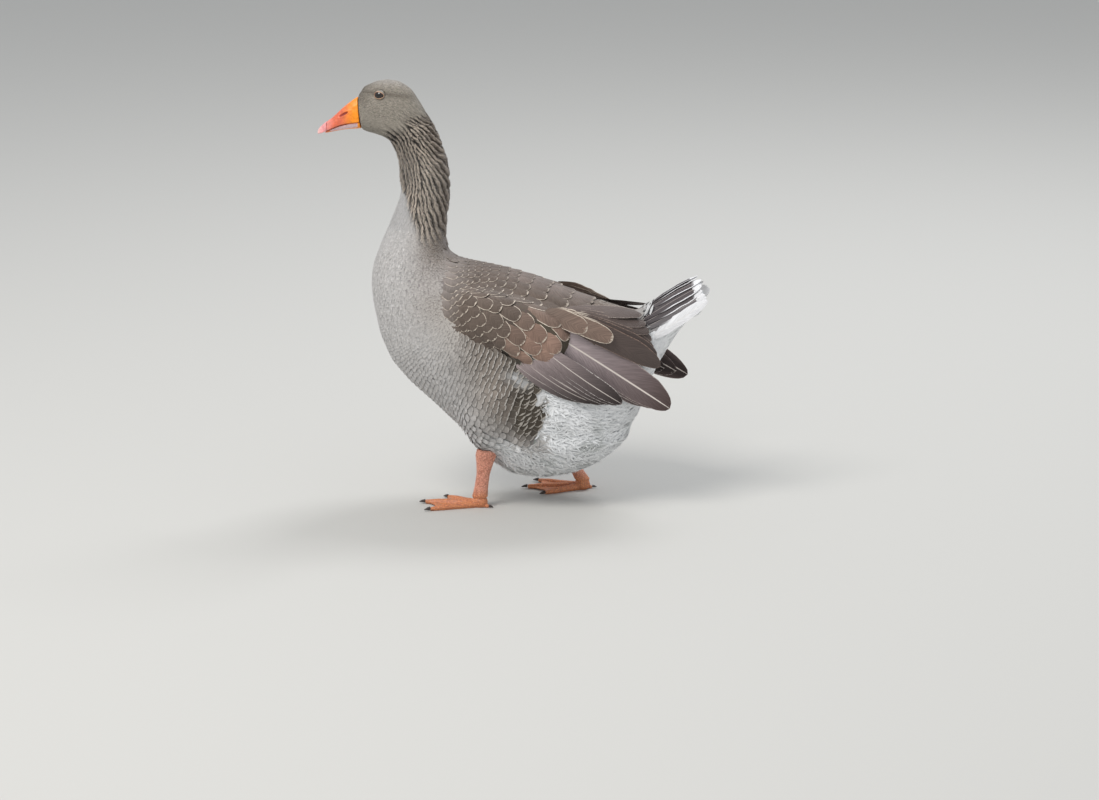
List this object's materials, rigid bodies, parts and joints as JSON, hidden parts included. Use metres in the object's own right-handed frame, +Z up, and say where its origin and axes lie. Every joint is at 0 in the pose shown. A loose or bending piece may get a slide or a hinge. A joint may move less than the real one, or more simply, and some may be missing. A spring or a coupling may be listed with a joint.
{
  "type": "domestic goose",
  "caption": "Life-size grey domestic goose in a walking stance with its neck upright, wings folded and tail raised.",
  "frame": {"origin": "centre of the bounding box's bottom face, on the floor under the goose", "axes": "+Z up, the goose faces -Y, +X is its left side"},
  "size_m": [0.2394, 0.5507, 0.6093],
  "materials": {
    "grey_down": "soft short feathers",
    "furrowed_neck": "furrowed neck feathers",
    "pale_breast": "soft body feathers",
    "white_down": "fluffy white feathers",
    "brown_feather": "smooth flight feathers and coverts",
    "orange_bill": "satin horn over skin",
    "bill_nail": "pale horn",
    "leg_skin": "scaled skin",
    "claw_horn": "dark horn",
    "eye": "wet gloss"
  },
  "bodies": {
    "root": {"bill_lower": "orange_bill", "bill_nail": "bill_nail", "bill_upper": "orange_bill", "claw_left_hind": "claw_horn", "claw_left_inner": "claw_horn", "claw_left_middle": "claw_horn", "claw_left_outer": "claw_horn", "claw_right_hind": "claw_horn", "claw_right_inner": "claw_horn", "claw_right_middle": "claw_horn", "claw_right_outer": "claw_horn", "eye_left": "eye", "eye_right": "eye", "foot_left": "leg_skin", "foot_right": "leg_skin", "head": "grey_down", "neck": "furrowed_neck", "shank_left": "leg_skin", "shank_right": "leg_skin", "tail_coverts": "white_down", "tail_fan": "white_down", "thigh_left": "pale_breast", "thigh_right": "pale_breast", "trunk": "pale_breast", "wing_left_coverts": "brown_feather", "wing_left_primaries": "brown_feather", "wing_left_secondaries": "brown_feather", "wing_left_tertials": "brown_feather", "wing_right_coverts": "brown_feather", "wing_right_primaries": "brown_feather", "wing_right_secondaries": "brown_feather", "wing_right_tertials": "brown_feather"}
  },
  "joints": []
}
